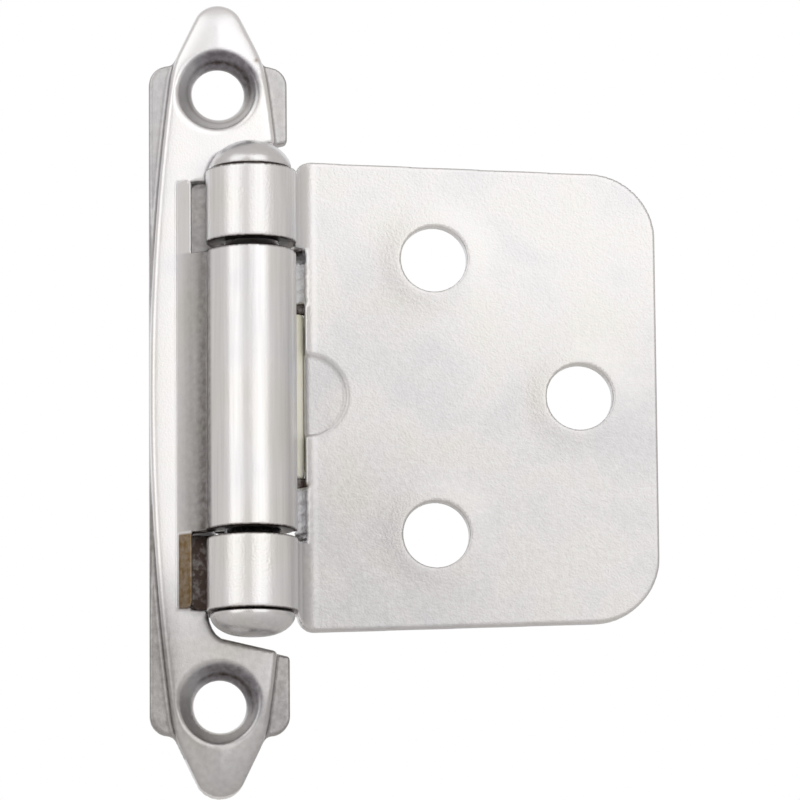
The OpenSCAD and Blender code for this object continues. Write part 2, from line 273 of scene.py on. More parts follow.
def curled_sheet(x, h, sheet, open_from, open_to, edge):
    """Section of a sheet curled round the pin, open between two angles."""
    dx, dh = x - PIN[0], h - PIN[1]
    ring = np.abs(np.hypot(dx, dh) - BORE_R - sheet / 2) - sheet / 2
    (fx, fh), (tx, th) = ray(open_from), ray(open_to)
    wedge = np.maximum(fh * dx - fx * dh, tx * dh - th * dx)
    return both(ring, -wedge, edge)


def plateau_foot(x, z):
    """Front outline of the plateau: two bowed sides and two pointed ends with round tips."""
    bow = FRAME_HALF_W - SHOULDER_HALF_W
    bow_r = (SHOULDER ** 2 + bow ** 2) / (2 * bow)
    sides = np.hypot(x + bow_r - FRAME_HALF_W, z) - bow_r
    dz = z - TIP_Z
    corner_z = SHOULDER - TIP_Z
    turn = math.atan2(corner_z, SHOULDER_HALF_W) + math.acos(TIP_R / math.hypot(SHOULDER_HALF_W, corner_z))
    nx, nz = math.cos(turn), math.sin(turn)
    tip = np.where(nx * dz - nz * x > 0, np.hypot(x, dz), nx * x + nz * dz) - TIP_R
    return both(sides, tip, 0.4)


def notch_cut(x, z):
    """Outline of the notches beside the door knuckles and of the slanted cuts at the pin's heads."""
    return polygon(x, z, [
        (9, -3), (STEP_X[1], -3), (STEP_X[1], NOTCH_END - 0.5), (-2.35, NOTCH_END - 0.15),
        (-2.0, NOTCH_END), (-1.05, NOTCH_END), (-1.05, 19.2), (-0.96, 19.85), (-0.72, 20.45),
        (-0.4, 20.93), (0.05, 21.27), (FRAME_HALF_W, 22.65), (9, 23.3)])


def frame_leaf_metal(x, z, h, shape):
    """The frame leaf's sheet."""
    edge = shape.sheared_edge / MM
    wide, z = np.abs(x), np.abs(z)
    foot = plateau_foot(wide, z)
    corner = both(wide - FRAME_HALF_W, z - SHOULDER, FLANGE_CORNER_R)
    flange = np.maximum(either(corner, foot + 0.25, FLANGE_HOLLOW_R), wide - FRAME_HALF_W)
    flange = both(flange, slab(h, 0, FRAME_SHEET), edge)
    fall = np.clip((z - TIP_FALL[0]) / (TIP_FALL[1] - TIP_FALL[0]), 0, 1)
    top = PLATEAU_H - shape.tip_drop / MM * fall ** 2
    pointed = ramp(z, 25, 31)
    sink = (0.1 + 0.9 * pointed) * np.exp(np.minimum(foot, 0) / (0.4 + pointed))
    top = top - shape.edge_sink / MM * sink
    plateau = np.maximum(both(foot, h - top, shape.plateau_roll / MM), -h)
    metal = np.maximum(either(flange, plateau, 0.4), np.maximum(wide - FRAME_HALF_W, z - TIP_Z - TIP_R))
    metal = np.maximum(metal, -h)
    # the hollow under the plateau
    metal = both(metal, -both(foot + 0.95 * FRAME_SHEET, h - top + FRAME_SHEET, 0.5), edge)
    # pressed cups and countersunk holes
    crown = PLATEAU_H - FRAME_SHEET
    from_screw = np.hypot(x, z - FRAME_SCREW_Z)
    cup = both(from_screw - FRAME_SCREW_R - CUP_WALL, slab(h, CUP_BACK, crown + 0.4), 0.3)
    metal = np.minimum(metal, cup)
    lean = (SINK_R - FRAME_SCREW_R) / SINK_DEPTH
    from_sink = np.hypot(x + SINK_OFF * (h - crown + 0.4) / SINK_DEPTH, z - FRAME_SCREW_Z)
    cone = (from_sink - FRAME_SCREW_R - (h - PLATEAU_H + SINK_DEPTH) * lean) / math.hypot(1, lean)
    metal = both(metal, -either(from_screw - FRAME_SCREW_R, cone, 0.1), 0.26)
    # notches and slanted cuts
    metal = both(metal, -notch_cut(x, z), 0.3)
    # the slope that runs along the notches and up to the centre knuckle
    sx, sh = ray(FLANK_SLOPE)
    rise = sx * (h - FLANK_FOOT[1]) - sh * (x - FLANK_FOOT[0])
    slope = both(both(rise, STEP_X[0] - x, 0.1), -rise - FRAME_SHEET, 0.1)
    stub = both(slope, both(x - STEP_X[1], z - NOTCH_END, 0.55), 0.25)
    wall = both(both(slab(x, *STEP_X), z - NOTCH_END, 0.62), np.maximum(rise, 1.8 - h), 0.1)
    # the floors stand where the notches have only shade, and the marks paint them dark as that shadow
    floor = np.maximum(slab(h, *SHADE_FLOOR_H), slab(z, CENTRE_END - 0.5, NOTCH_END + 0.5))
    floor = both(slab(x, *SHADE_FLOOR_X), floor, 0.1)
    metal = np.minimum(np.minimum(metal, floor), np.minimum(stub, wall))
    # the centre knuckle with its catch ridge
    flank = np.maximum(slope, x - PIN[0] + BORE_R + 0.4)
    knuckle = either(flank, curled_sheet(x, h, FRAME_SHEET, *FRAME_CURL, edge), 0.9)
    knuckle = both(knuckle, BORE_R - np.hypot(x - PIN[0], h - PIN[1]), 0.05)
    bx, bh = ray(RIDGE_TURN)
    ridge = np.hypot(x - PIN[0] - RIDGE_OUT * bx, h - PIN[1] - RIDGE_OUT * bh) - RIDGE_R
    knuckle = both(either(knuckle, ridge, 0.08), z - CENTRE_END, edge)
    return np.minimum(metal, knuckle)


def door_leaf_metal(x, z, h, shape):
    """The door leaf's sheet."""
    edge = shape.sheared_edge / MM
    z = np.abs(z)
    slope = math.radians(DOOR_NARROWS)
    end = (z - DOOR_HALF) * math.cos(slope) + (x - NARROWS_FROM) * math.sin(slope)
    outline = np.maximum(both(x - DOOR_RIGHT, end, DOOR_CORNER_R), both(DOOR_LEFT - x, end, DOOR_INNER_R))
    outline = both(outline, -both(x - DOOR_EDGE, z - KNUCKLE_START, 0.02), 0.1)
    outline = np.minimum(outline, both(slab(x, TAB_EDGE, 12), z - TAB_HALF, 0.3))
    # the sheared faces slant back under the centre knuckle, torn and uneven; 1.49 is the slant's length
    torn = 0.04 * (np.sin(5.1 * z + 3 * h) + np.sin(11.3 * z + 2.1 * h + 1) + np.sin(17.7 * z - 6 * h))
    shear = (SHEAR_EDGE - SHEAR_LEAN * (DOOR_BACK + DOOR_SHEET - h) + torn - x) / 1.49
    # the ledges stand in the dark gap beside the follower's ends, and the marks paint them dark as its shade
    ledge = np.maximum(slab(z, LEDGE_HALF, TAB_HALF + 0.3), h - DOOR_BACK - LEDGE_H)
    shear = np.maximum(shear, np.minimum(slab(z, TAB_HALF, KNUCKLE_START + 0.7), ledge))
    outline = np.minimum(outline, np.maximum(shear, x - 12))
    # the sheet swells round the holes
    swell = 0
    for screw_x, screw_z in DOOR_SCREWS:
        far = np.hypot(x - screw_x, z - screw_z) - DOOR_SCREW_R
        swell = swell + shape.hole_swell / MM * np.exp(-(np.maximum(far, 0) / SWELL_REACH) ** 2)
    h = h - swell
    # the sheet itself, flat to the right of the bend's centre and bent to the left of it
    wx, wh = x - WEB[0], h - WEB[1]
    middle = DOOR_BACK + DOOR_SHEET / 2
    bent = np.abs(np.hypot(wx, wh) - WEB[1] + middle)
    sheet = np.where(wx > 0, np.abs(h - middle), bent) - DOOR_SHEET / 2
    plate = both(outline, np.maximum(sheet, h - WEB[1]), edge)
    # the half-moon, pressed back
    moon = both(np.hypot(x - TAB_EDGE, z) - MOON_R, TAB_EDGE - x, 0.1)
    front = DOOR_BACK + DOOR_SHEET - MOON_DEPTH
    plate = both(plate, -np.maximum(moon, front - h), 0.35)
    plate = either(plate, both(moon, slab(h, front - DOOR_SHEET, front), 0.2), 0.35)
    for screw_x, screw_z in DOOR_SCREWS:
        plate = both(plate, DOOR_SCREW_R - np.hypot(x - screw_x, z - screw_z), 0.12)
    # the two knuckles and the webs that rise to them
    to_pin = math.degrees(math.atan2(PIN[1] - WEB[1], PIN[0] - WEB[0]))
    rx, rh = ray(to_pin)
    web = np.maximum(np.maximum(sheet, x - WEB[0] - 0.6), wx * rh - wh * rx - 0.15)
    web = np.maximum(web, h - WEB[1] - 0.6)
    curl = curled_sheet(x, h, DOOR_SHEET, to_pin + DOOR_CURL[0], to_pin + DOOR_CURL[1], edge)
    knuckle = both(np.minimum(web, curl), slab(z, KNUCKLE_START, KNUCKLE_END), edge)
    return np.minimum(plate, knuckle)


def spot(x, z, at_x, at_z, r):
    """A round mark."""
    return np.exp(-((x - at_x) ** 2 + (z - at_z) ** 2) / (r * r))


def frame_leaf_marks(x, z, h):
    """Where the frame leaf has grease, rust and bluish film, and where it has painted shade, from 0 to 1."""
    away = np.abs(z)
    from_pin = np.hypot(x - PIN[0], h - PIN[1])
    # the centre knuckle's ends in the gaps get grease and painted shade; the flank beside it has a darker tone,
    # with painted shade that deepens in the valley towards the barrel and downwards
    ends = ramp(away, CENTRE_END - 0.2, CENTRE_END - 0.08) * (away < CENTRE_END + 0.2)
    ends = ends * (from_pin < CENTRE_REACH)
    flank = (h > PLATEAU_H + 0.1) * (away < CENTRE_END - 0.02) * ramp(x, -0.85, -1.15)
    flank = flank * (0.12 + 0.3 * ramp(x, STEP_X[0], -2.4) + 0.3 * ramp(x, -2.4, -1.6) - 0.006 * z)
    grease_and_shade = np.maximum(0.95 * ends, flank)
    # the notches behind their step: painted shadow on their floors and walls, deepest in the lower notch
    in_notch = (away > CENTRE_END - 0.05) * (away < NOTCH_END + 0.05)
    notch_shade = in_notch * (x > STEP_X[1] - 0.1) * (x < 0) * (h > SHADE_FLOOR_H[0] + 0.1) * (h < 4.4)
    grease_and_shade = np.maximum(grease_and_shade, notch_shade * np.where(z > 0, 0.6, 1.0))
    # the lower end, most at its left: painted shade with some brownish tarnish; the flanges are darker, more so
    # downwards
    lower_shade_and_tarnish = 1.35 * ramp(-z, 12, 24) * (h >= FLANGE_TOP) * (1 + 0.5 * ramp(-x, 3, 5))
    flange = (h < FLANGE_TOP) * (np.abs(x) > 3)
    grease_and_shade = np.maximum(grease_and_shade, 0.3 * lower_shade_and_tarnish + (0.34 + 0.28 * ramp(-z, -6, 12)) * flange)
    # rust on the lower notch's torn step, and one spot at the upper right
    torn = (x > STEP_X[0] + 0.12) * (x < STEP_X[1] + 0.05) * (h > PLATEAU_H + 0.15) * (z < -CENTRE_END)
    rust = np.maximum(0.9 * torn * (z > -NOTCH_END), 0.8 * spot(x, z, 3.3, 29.8, 0.18))
    # painted shade on the countersinks' upper right wall, which faces down, with a dark line round the hole
    up = z - np.sign(z) * FRAME_SCREW_Z
    from_screw = np.hypot(x, up)
    cone = ramp(from_screw, SINK_R + 0.3, SINK_R - 0.15) * (away > 20)
    upper_wall_shade = ramp((0.45 * x + 0.9 * up) / np.maximum(from_screw, 0.1), -0.3, 0.95)
    line = np.exp(-((from_screw - 2.75) / 0.14) ** 2)
    grease_and_shade = np.maximum(grease_and_shade, cone * (0.66 * upper_wall_shade + 0.3 * line))
    # painted shade along the rolled lip of the lower slanted cut
    by_cut = np.exp(np.minimum(-notch_cut(x, away), 0) / 0.8)
    lip_shade = by_cut * (away > NOTCH_END) * (h > 1.4) * (z < 0)
    grease_and_shade = np.maximum(grease_and_shade, 0.72 * lip_shade)
    # the bluish film lies mostly on the countersinks' painted shade, and faintly on the upper flanges
    blued_and_shade = np.maximum(cone * (0.06 + 0.6 * upper_wall_shade), 0.2 * flange * ramp(z, 4, 14))
    return {"grease_and_shade": grease_and_shade, "rust": rust, "blued_and_shade": blued_and_shade}


def door_leaf_marks(x, z, h):
    """Where the door leaf has grease and rust, and where it has painted shade, from 0 to 1."""
    away = np.abs(z)
    from_pin = np.hypot(x - PIN[0], h - PIN[1])
    # the knuckles' ends in the gaps: grease and painted shade
    ends = np.maximum(ramp(away, KNUCKLE_START + 0.17, KNUCKLE_START + 0.05) * (away > KNUCKLE_START - 0.2),
                      ramp(away, KNUCKLE_END - 0.15, KNUCKLE_END - 0.04))
    ends = ends * (from_pin < DOOR_REACH) * (x < 6.6)
    # painted shade on the sheared faces, deeper further back and on the lower side, on their ledges by the tab,
    # and at their outer ends by the knuckles
    inner = (x < DOOR_EDGE) * (h > DOOR_BACK + 0.1)
    ledge = inner * (h < 2.3) * (away < TAB_HALF + 0.2) * (away > LEDGE_HALF - 0.2)
    shear = inner * (h < 2.8) * (away > TAB_HALF) * (away < KNUCKLE_START + 0.8)
    tone = np.maximum(np.where(z > 0, 0.05, 0.45) * ramp(h, 2.7, 1.6), 0.9 * ramp(away, 12.3, 12.5))
    # a faint film all over, and painted shade that grows towards the lower left, with two soft darker patches
    # by the barrel and a little more in the half-moon
    film = 0.1 + 0.14 * ramp(-z, -14, 6) + 0.1 * ramp(-z, 2, 22) * ramp(x, 40, 10)
    film = film + 0.09 * spot(x, z, 14, 8, 6) + 0.07 * spot(x, z, 11, -10, 6)
    film = film + 0.06 * ramp(np.hypot(x - TAB_EDGE, z), MOON_R, MOON_R - 0.3)
    grease_and_shade = np.maximum(0.95 * np.maximum(ends, ledge), np.maximum(shear * tone, film * (x > 7)))
    return {"grease_and_shade": grease_and_shade, "rust": 0.8 * spot(x, z, 7.5, -7.9, 0.2), "blued_and_shade": 0 * x}


def gradient(field, points, step=0.01):
    """The direction in which a field grows, at each point."""
    slope = np.empty_like(points)
    for axis in range(3):
        shift = np.zeros(3)
        shift[axis] = step
        slope[:, axis] = (field(*(points + shift).T) - field(*(points - shift).T)) / (2 * step)
    return slope


def crossings(value):
    """The cells that a surface crosses, and the mean place in each where it cuts the cell's edges."""
    inside = value < 0
    shape = np.array(value.shape) - 1
    corners = [np.array((i, j, k)) for i in (0, 1) for j in (0, 1) for k in (0, 1)]
    full = sum(inside[tuple(slice(o, o + n) for o, n in zip(c, shape))].astype(int) for c in corners)
    cells = np.argwhere((full > 0) & (full < 8))
    total, hits = np.zeros((len(cells), 3)), np.zeros(len(cells))
    for start in corners:
        for axis in np.flatnonzero(start == 0):
            stop = start.copy()
            stop[axis] = 1
            a, b = value[tuple((cells + start).T)], value[tuple((cells + stop).T)]
            crossed = (a < 0) != (b < 0)
            at = np.tile(start.astype(float), (crossed.sum(), 1))
            at[:, axis] = a[crossed] / (a[crossed] - b[crossed])
            total[crossed] += at
            hits[crossed] += 1
    return cells, total / hits[:, None]


def quads_between(value, cells):
    """One face round each grid edge that the surface cuts, from the points of its four cells."""
    inside = value < 0
    shape = np.array(value.shape) - 1
    number = np.full(shape, -1)
    number[tuple(cells.T)] = np.arange(len(cells))
    quads = []
    for axis in range(3):
        u, v = np.eye(3, dtype=int)[(axis + 1) % 3], np.eye(3, dtype=int)[(axis + 2) % 3]
        near = tuple(slice(0, n) if i == axis else slice(1, n) for i, n in enumerate(shape))
        far = tuple(slice(1, n + 1) if i == axis else slice(1, n) for i, n in enumerate(shape))
        nodes = np.argwhere(inside[near] != inside[far]) + u + v
        quad = np.stack([number[tuple((nodes - s).T)] for s in (0 * u, u, u + v, v)], 1)
        outward = inside[tuple(nodes.T)]
        quad[~outward] = quad[~outward][:, ::-1]
        quads.append(quad)
    return np.concatenate(quads)


def place(name, points, faces):
    """Puts a mesh into the scene."""
    mesh = bpy.data.meshes.new(name)
    mesh.from_pydata(points, [], faces)
    mesh.validate()
    mesh.shade_smooth()
    piece = bpy.data.objects.new(name, mesh)
    bpy.context.scene.collection.objects.link(piece)
    return piece


def mark(piece, label, values):
    """Stores one value at each point of a piece, for its material."""
    piece.data.attributes.new(label, "FLOAT", "POINT").data.foreach_set("value", values)


def skin(name, field, marks, low, high, cell):
    """Meshes the surface of a field, with one point in each cell that the surface crosses."""
    axes = [np.arange(a - cell, b + 2 * cell, cell) for a, b in zip(low, high)]
    value = field(*np.meshgrid(*axes, indexing="ij", sparse=True)).astype(np.float32)
    cells, within = crossings(value)
    points = np.array([a[0] for a in axes]) + (cells + within) * cell
    # four steps draw the points onto the surface
    for _ in range(4):
        slope = gradient(field, points)
        far = field(*points.T) / np.maximum((slope ** 2).sum(1), 0.2)
        points -= slope * np.clip(far, -cell / 3, cell / 3)[:, None]
    world = np.stack([points[:, 0], -points[:, 2], points[:, 1]], 1) * MM
    piece = place(name, world.tolist(), quads_between(value, cells).tolist())
    # a point lies in a hollow where there is metal less than its reach in front of it; the plating darkens
    # hollows with painted shade
    normal = gradient(field, points, 0.04)
    normal /= np.maximum(np.linalg.norm(normal, axis=1), 1e-6)[:, None]
    reach = 0.5
    hollow = np.clip(1 - field(*(points + normal * reach).T) / reach, 0, 1)
    for label, values in {"hollow": hollow, **marks(*points.T)}.items():
        mark(piece, label, values.astype(np.float32))
    return piece


def turned(name, profile, centre, steps=96):
    """A turned piece round an upright axis, from its half-profile of (radius, z) in mm."""
    points, faces = [], []
    last = len(profile) - 1
    for i in range(steps):
        a = 2 * math.pi * i / steps
        points += [((centre[0] + r * math.cos(a)) * MM, (-centre[1] + r * math.sin(a)) * MM, z * MM)
                   for r, z in profile[1:last]]
    points += [(centre[0] * MM, -centre[1] * MM, profile[k][1] * MM) for k in (0, last)]
    rows = last - 1
    low, top = steps * rows, steps * rows + 1
    for i in range(steps):
        a, b = i * rows, (i + 1) % steps * rows
        faces.append((low, b, a))
        faces += [(a + k, b + k, b + k + 1, a + k + 1) for k in range(rows - 1)]
        faces.append((top, a + rows - 1, b + rows - 1))
    return place(name, points, faces)


# Materials. A map range's inputs 1 to 4 are from low, from high, to low and to high, and a colour
# mix's inputs 6 and 7 are its two colours


def add(tree, kind, inputs=(), **settings):
    """Adds a node with its settings; each input is a value or another node's output."""
    new = tree.nodes.new(kind)
    for key, value in settings.items():
        setattr(new, key, value)
    for key, value in dict(inputs).items():
        if isinstance(value, bpy.types.NodeSocket):
            tree.links.new(value, new.inputs[key])
        else:
            new.inputs[key].default_value = value
    return new


def empty_material(name):
    """An empty material with its output, and the object's own coordinates in mm."""
    material = bpy.data.materials.new(name)
    material.use_nodes = True
    tree = material.node_tree
    tree.nodes.clear()
    out = add(tree, "ShaderNodeOutputMaterial")
    local = add(tree, "ShaderNodeTexCoord").outputs["Object"]
    mm = add(tree, "ShaderNodeVectorMath", {0: local, "Scale": 1 / MM}, operation="SCALE").outputs[0]
    return material, tree, out, mm


def rgba(value):
    """A colour with full opacity."""
    return (*value, 1.0)


def nickel_plate(name, colours, grain_mm, grain_depth, rough, streaks):
    """Bright nickel on stamped steel. It is satin and almost neutral, with a faint cloudy film, darker
    grease and painted shade in the creases, gaps and notches, and on the rolled knuckles fine lines along the
    barrel."""
    material, tree, out, mm = empty_material(name)
    # clouds of film, about 6 mm across and very faint
    cloud = add(tree, "ShaderNodeTexNoise", {"Vector": mm, "Scale": 1 / 6, "Detail": 2.0, "Distortion": 0.3})
    tint = add(tree, "ShaderNodeValToRGB", {0: cloud.outputs[0]})
    stops = tint.color_ramp.elements
    stops[0].position, stops[0].color = 0.3, rgba(colours.nickel_warm)
    stops[1].position, stops[1].color = 0.72, rgba(colours.nickel_cool)
    stops.new(0.5).color = rgba(colours.nickel)
    # lines left by rolling, 0.3 mm apart and about 10 mm long, only where the metal stands forward
    stretch = add(tree, "ShaderNodeVectorMath", {0: mm, 1: (3.3, 3.3, 0.1)}, operation="MULTIPLY")
    line = add(tree, "ShaderNodeTexNoise", {"Vector": stretch.outputs[0], "Scale": 1.0, "Detail": 2.0})
    forward = add(tree, "ShaderNodeSeparateXYZ", {0: mm}).outputs["Y"]
    rolled = add(tree, "ShaderNodeMapRange", {0: forward, 1: -3.2, 2: -4.6, 3: 1.0, 4: 1 - streaks})
    lined = add(tree, "ShaderNodeMapRange", {0: line.outputs[0], 1: 0.35, 2: 0.65, 3: rolled.outputs[0],
                                             4: 1.0})
    shade = add(tree, "ShaderNodeMix", {0: 1.0, 6: tint.outputs[0], 7: lined.outputs[0]},
                data_type="RGBA", blend_type="MULTIPLY").outputs[2]
    # marks, broken up by specks of 0.5 mm; the grime colour paints both grease and shade, and the creases get
    # painted shade
    speck = add(tree, "ShaderNodeTexNoise", {"Vector": mm, "Scale": 1 / 0.5, "Detail": 3.0})
    broken = add(tree, "ShaderNodeMapRange", {0: speck.outputs[0], 1: 0.3, 2: 0.7, 3: 0.86, 4: 1.1})
    crease_shade = add(tree, "ShaderNodeAttribute", attribute_name="hollow")
    crease_shade = add(tree, "ShaderNodeMapRange", {0: crease_shade.outputs["Fac"], 1: 0.3, 2: 0.95, 3: 0.0, 4: 0.22})
    for label, tone in (("blued_and_shade", colours.blued_and_shade), ("rust", colours.rust), ("grease_and_shade", colours.grime_and_shade)):
        where = add(tree, "ShaderNodeAttribute", attribute_name=label).outputs["Fac"]
        if label == "grease_and_shade":
            where = add(tree, "ShaderNodeMath", {0: where, 1: crease_shade.outputs[0]},
                        operation="MAXIMUM").outputs[0]
        where = add(tree, "ShaderNodeMath", {0: where, 1: broken.outputs[0]}, operation="MULTIPLY",
                    use_clamp=True)
        shade = add(tree, "ShaderNodeMix", {0: where.outputs[0], 6: shade, 7: rgba(tone)},
                    data_type="RGBA").outputs[2]
    gloss = add(tree, "ShaderNodeMapRange", {0: cloud.outputs[0], 1: 0.3, 2: 0.7, 3: rough[0], 4: rough[1]})
    grain = add(tree, "ShaderNodeTexNoise", {"Vector": mm, "Scale": 1 / grain_mm, "Detail": 2.0})
    bump = add(tree, "ShaderNodeBump", {"Height": grain.outputs[0], "Distance": grain_depth * MM,
                                        "Strength": 1.0})
    metal = add(tree, "ShaderNodeBsdfPrincipled", {
        "Base Color": shade, "Metallic": 1.0, "Roughness": gloss.outputs[0], "Normal": bump.outputs[0]})
    tree.links.new(metal.outputs[0], out.inputs[0])
    return material


def natural_nylon(colours):
    """Moulded natural nylon: waxy, slightly see-through and yellowed, with a soft sheen."""
    material, tree, out, mm = empty_material("natural_nylon")
    # flow marks of the moulding, about 2 mm
    flow = add(tree, "ShaderNodeTexNoise", {"Vector": mm, "Scale": 1 / 2, "Detail": 2.0})
    tint = add(tree, "ShaderNodeMix", {0: flow.outputs[0], 6: rgba(colours.nylon), 7: rgba(linear("#efedd6"))},
               data_type="RGBA")
    wave = add(tree, "ShaderNodeBump", {"Height": flow.outputs[0], "Distance": 0.05 * MM, "Strength": 1.0})
    plastic = add(tree, "ShaderNodeBsdfPrincipled", {
        "Base Color": tint.outputs[2], "Roughness": 0.42, "IOR": 1.53, "Subsurface Weight": 0.25,
        "Subsurface Radius": (0.8, 0.7, 0.4), "Subsurface Scale": MM, "Normal": wave.outputs[0]})
    tree.links.new(plastic.outputs[0], out.inputs[0])
    return material


def tempered_spring_steel(colours):
    """Tempered strip: grey and half gloss, with fine rolling lines along the strip."""
    material, tree, out, mm = empty_material("tempered_spring_steel")
    # rolling lines, 0.15 mm apart
    stretch = add(tree, "ShaderNodeVectorMath", {0: mm, 1: (0.3, 0.3, 7.0)}, operation="MULTIPLY")
    line = add(tree, "ShaderNodeTexNoise", {"Vector": stretch.outputs[0], "Scale": 1.0, "Detail": 2.0})
    tint = add(tree, "ShaderNodeMix", {0: line.outputs[0], 6: rgba(colours.spring), 7: rgba(linear("#8f8d8a"))},
               data_type="RGBA")
    score = add(tree, "ShaderNodeBump", {"Height": line.outputs[0], "Distance": 0.01 * MM, "Strength": 1.0})
    metal = add(tree, "ShaderNodeBsdfPrincipled", {
        "Base Color": tint.outputs[2], "Metallic": 1.0, "Roughness": 0.34, "Normal": score.outputs[0]})
    tree.links.new(metal.outputs[0], out.inputs[0])
    return material


class HINGE_OT_frame_leaf(bpy.types.Operator):
    """Builds the frame leaf's skin and plates it"""
    bl_idname = "hinge.frame_leaf"
    bl_label = "Frame leaf"

    def execute(self, context):
        settings = context.scene.hinge
        piece = skin("frame_leaf_skin", lambda x, z, h: frame_leaf_metal(x, z, h, settings.shape),
                     frame_leaf_marks, (-6.05, -34.93, 0), (6.53, 34.93, 9.03), settings.shape.mesh_step / MM)
        piece.data.materials.append(nickel_plate(
            "satin_nickel", settings.finish, 0.16, 0.011, (0.3, 0.36), 0.08))
        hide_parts("frame_leaf")
        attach(piece, "frame")
        return {"FINISHED"}


class HINGE_OT_door_leaf(bpy.types.Operator):
    """Builds the door leaf's skin and plates it"""
    bl_idname = "hinge.door_leaf"
    bl_label = "Door leaf"

    def execute(self, context):
        settings = context.scene.hinge
        piece = skin("door_leaf_skin", lambda x, z, h: door_leaf_metal(x, z, h, settings.shape),
                     door_leaf_marks, (-1.33, -20.64, 0.92), (38.2, 20.64, 9.21), settings.shape.mesh_step / MM)
        piece.data.materials.append(nickel_plate(
            "grained_nickel", settings.finish, 0.2, 0.022, (0.32, 0.38), 0.08))
        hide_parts("door_leaf")
        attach(piece, "door")
        return {"FINISHED"}


class HINGE_OT_pin(bpy.types.Operator):
    """Turns the pin with its domed and its peened head"""
    bl_idname = "hinge.pin"
    bl_label = "Pin"

    def execute(self, context):
        # the powers make the dome and the peened head fuller than an ellipse
        dome = [(DOME_R * math.cos(a), HEAD_RIM + (DOME_END - HEAD_RIM) * math.sin(a) ** 1.3)
                for a in [math.radians(5 * i) for i in range(18)]]
        peen = [(PEEN_FLAT_R + (PEEN_R - PEEN_FLAT_R) * math.cos(a),
                 -HEAD_RIM + (PEEN_END + HEAD_RIM) * math.sin(a) ** 1.2)
                for a in [math.radians(90 - 6 * i) for i in range(16)]]
        profile = ([(0, PEEN_END), (0.6, PEEN_END)] + peen +
                   [(PEEN_R, -HEAD_START - 0.16), (PEEN_R - 0.05, -HEAD_START - 0.05),
                    (PEEN_R - 0.17, -HEAD_START), (PIN_R, -HEAD_START), (PIN_R, HEAD_START),
                    (DOME_R - 0.16, HEAD_START), (DOME_R - 0.05, HEAD_START + 0.05),
                    (DOME_R, HEAD_START + 0.16)] + dome + [(0, DOME_END)])
        piece = turned("hinge_pin_turned", profile, PIN)
        # a film all over, and darker on the lower head
        mark(piece, "grease_and_shade", [0.14 + 0.2 * float(ramp(-v.co.z / MM, HEAD_START, 20.9))
                               for v in piece.data.vertices])
        piece.data.materials.append(nickel_plate(
            "polished_nickel", context.scene.hinge.finish, 0.2, 0.01, (0.24, 0.32), 0.04))
        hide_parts("hinge_pin")
        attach(piece, "frame")
        return {"FINISHED"}


class HINGE_OT_closer(bpy.types.Operator):
    """Adds the nylon follower and finishes its spring"""
    bl_idname = "hinge.closer"
    bl_label = "Follower and spring"

    def execute(self, context):
        colours = context.scene.hinge.finish
        bend = FOLLOWER_ROUND
        end = [(FOLLOWER_R - bend + bend * math.sin(a), FOLLOWER_HALF - bend + bend * math.cos(a))
               for a in [math.radians(18 * i) for i in range(6)]]
        profile = [(0, -FOLLOWER_HALF)] + [(r, -z) for r, z in end] + end[::-1] + [(0, FOLLOWER_HALF)]
        follower = turned("nylon_follower_rod", profile, FOLLOWER, 48)
        follower.data.materials.append(natural_nylon(colours))
        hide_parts("nylon_follower")
        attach(follower, "door")
        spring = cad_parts["closing_spring"]
        steel = tempered_spring_steel(colours)
        for slot in spring.material_slots:
            slot.link = "OBJECT"
            slot.material = steel
        return {"FINISHED"}


